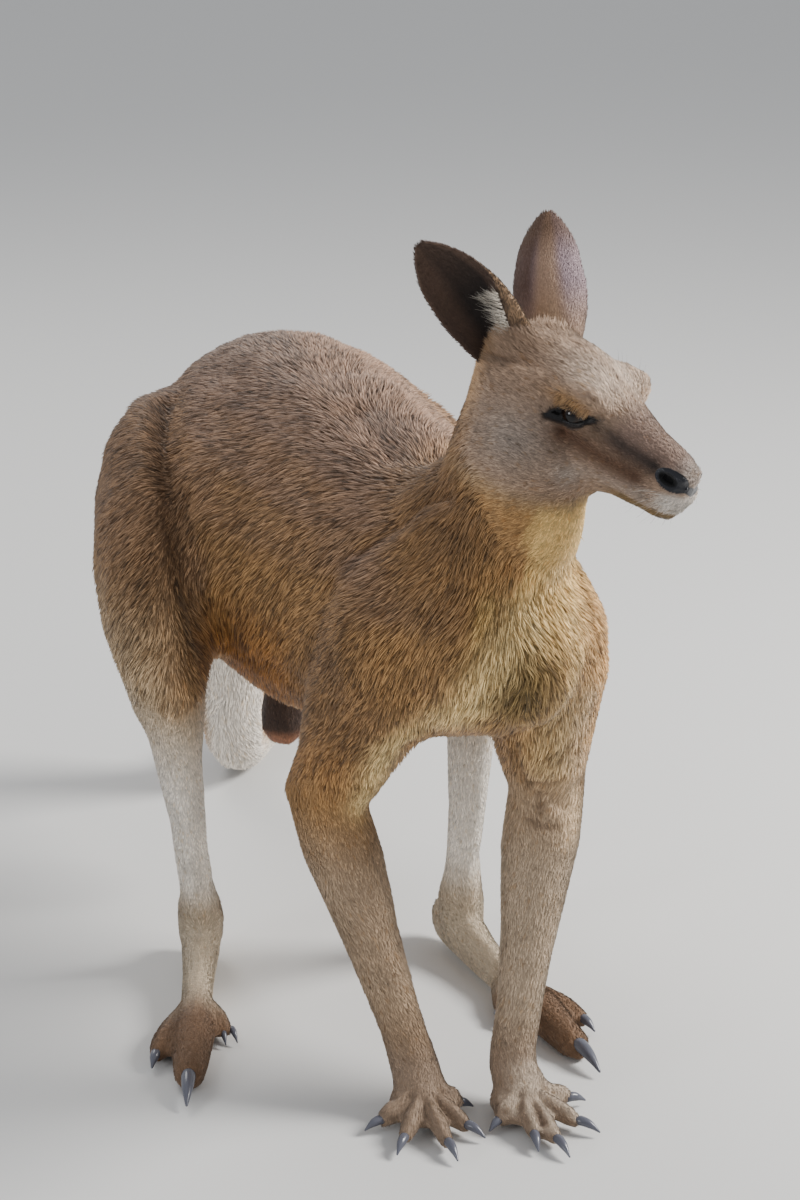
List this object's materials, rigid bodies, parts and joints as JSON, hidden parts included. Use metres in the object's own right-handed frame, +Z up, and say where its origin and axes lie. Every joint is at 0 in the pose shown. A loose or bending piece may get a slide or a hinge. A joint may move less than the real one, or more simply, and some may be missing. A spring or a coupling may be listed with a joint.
{
  "type": "eastern grey kangaroo, still model",
  "caption": "Life-size still model of a male eastern grey kangaroo standing on all fours, head turned to its left, tail trailing on the floor.",
  "frame": {"origin": "bottom centre of the bounding box, on the floor that the hands, feet and tail rest on", "axes": "+Z up; the animal faces -Y and its left side is +X; Y is the longest extent, nose to tail tip"},
  "size_m": [0.5174, 1.6094, 0.9006],
  "materials": {
    "coat": "short grey-brown fur, fawn on the flanks, cream on throat, belly and shanks, darker on ears, hands and feet",
    "eyes": "wet, almost black brown",
    "claws": "satin dark grey horn",
    "bare_skin": "dark, fine-grained bare skin"
  },
  "bodies": {
    "root": {"claw_fore_left_1": "claws", "claw_fore_left_2": "claws", "claw_fore_left_3": "claws", "claw_fore_left_4": "claws", "claw_fore_left_5": "claws", "claw_fore_right_1": "claws", "claw_fore_right_2": "claws", "claw_fore_right_3": "claws", "claw_fore_right_4": "claws", "claw_fore_right_5": "claws", "claw_hind_left_2": "claws", "claw_hind_left_3": "claws", "claw_hind_left_4": "claws", "claw_hind_left_5": "claws", "claw_hind_right_2": "claws", "claw_hind_right_3": "claws", "claw_hind_right_4": "claws", "claw_hind_right_5": "claws", "ear_left": "coat", "ear_right": "coat", "eye_left": "eyes", "eye_right": "eyes", "foot_left": "coat", "foot_right": "coat", "forearm_left": "coat", "forearm_right": "coat", "hand_left": "coat", "hand_right": "coat", "head": "coat", "neck": "coat", "scrotum": "bare_skin", "shank_left": "coat", "shank_right": "coat", "tail_middle": "coat", "tail_root": "coat", "tail_tip": "coat", "thigh_left": "coat", "thigh_right": "coat", "trunk": "coat", "upper_arm_left": "coat", "upper_arm_right": "coat"}
  },
  "joints": []
}
